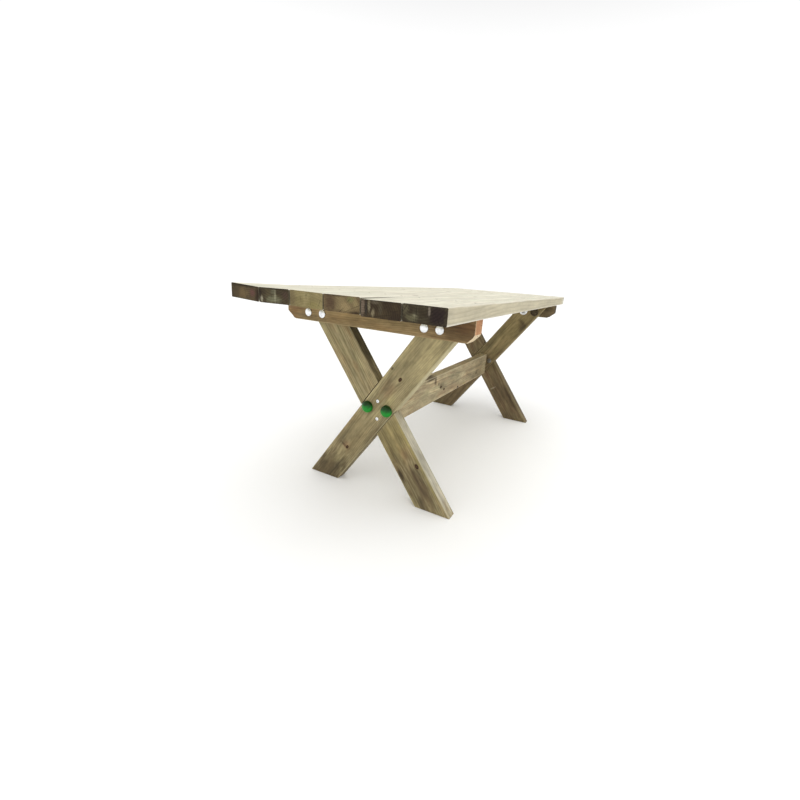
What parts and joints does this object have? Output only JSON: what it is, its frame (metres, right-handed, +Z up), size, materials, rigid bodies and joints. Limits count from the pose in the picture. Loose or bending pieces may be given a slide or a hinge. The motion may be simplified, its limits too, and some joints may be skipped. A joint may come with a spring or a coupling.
{
  "type": "picnic table",
  "caption": "Plank-top outdoor timber table on two crossed-leg end frames joined by a single stretcher, with snap caps over the crossing bolts.",
  "frame": {"origin": "on the ground, in the middle of the table", "axes": "+Z up, +Y along the planks away from the near end, +X to the right across the width"},
  "size_m": [0.73, 1.8, 0.7548],
  "materials": {
    "top_wood": "planed pressure-treated pine, bleached pale on top, dark sawn ends",
    "leg_wood": "planed pressure-treated pine, olive brown",
    "bearer_wood": "planed pressure-treated pine, warm brown",
    "stretcher_wood": "planed pressure-treated pine, grey tan",
    "zinc": "bright zinc plate",
    "green_plastic": "moulded, satin green"
  },
  "bodies": {
    "table": {"top_plank_1": "top_wood", "top_plank_2": "top_wood", "top_plank_3": "top_wood", "top_plank_4": "top_wood", "top_plank_5": "top_wood", "top_plank_6": "top_wood", "near_bearer": "bearer_wood", "near_leg_front": "leg_wood", "near_leg_back": "leg_wood", "near_top_bolt_1": "zinc", "near_top_bolt_2": "zinc", "near_top_bolt_3": "zinc", "near_top_bolt_4": "zinc", "near_top_washer_1": "zinc", "near_top_washer_2": "zinc", "near_top_washer_3": "zinc", "near_top_washer_4": "zinc", "near_top_nut_1": "zinc", "near_top_nut_2": "zinc", "near_top_nut_3": "zinc", "near_top_nut_4": "zinc", "near_cross_bolt_left": "zinc", "near_cross_nut_left": "zinc", "near_cap_base_left": "green_plastic", "near_cross_bolt_right": "zinc", "near_cross_nut_right": "zinc", "near_cap_base_right": "green_plastic", "near_stretcher_screw_upper": "zinc", "near_stretcher_screw_lower": "zinc", "far_bearer": "bearer_wood", "far_leg_front": "leg_wood", "far_leg_back": "leg_wood", "far_top_bolt_1": "zinc", "far_top_bolt_2": "zinc", "far_top_bolt_3": "zinc", "far_top_bolt_4": "zinc", "far_top_washer_1": "zinc", "far_top_washer_2": "zinc", "far_top_washer_3": "zinc", "far_top_washer_4": "zinc", "far_top_nut_1": "zinc", "far_top_nut_2": "zinc", "far_top_nut_3": "zinc", "far_top_nut_4": "zinc", "far_cross_bolt_left": "zinc", "far_cross_nut_left": "zinc", "far_cap_base_left": "green_plastic", "far_cross_bolt_right": "zinc", "far_cross_nut_right": "zinc", "far_cap_base_right": "green_plastic", "far_stretcher_screw_upper": "zinc", "far_stretcher_screw_lower": "zinc", "stretcher": "stretcher_wood"},
    "near_left_cap": {"near_cap_lid_left": "green_plastic"},
    "near_right_cap": {"near_cap_lid_right": "green_plastic"},
    "far_left_cap": {"far_cap_lid_left": "green_plastic"},
    "far_right_cap": {"far_cap_lid_right": "green_plastic"}
  },
  "joints": [
    {"name": "near_left_cap_slide", "type": "slide", "parent": "table", "child": "near_left_cap", "axis": [0, -1, 0], "range_m": [0, 0.03]},
    {"name": "near_right_cap_slide", "type": "slide", "parent": "table", "child": "near_right_cap", "axis": [0, -1, 0], "range_m": [0, 0.03]},
    {"name": "far_left_cap_slide", "type": "slide", "parent": "table", "child": "far_left_cap", "axis": [0, 1, 0], "range_m": [0, 0.03]},
    {"name": "far_right_cap_slide", "type": "slide", "parent": "table", "child": "far_right_cap", "axis": [0, 1, 0], "range_m": [0, 0.03]}
  ]
}
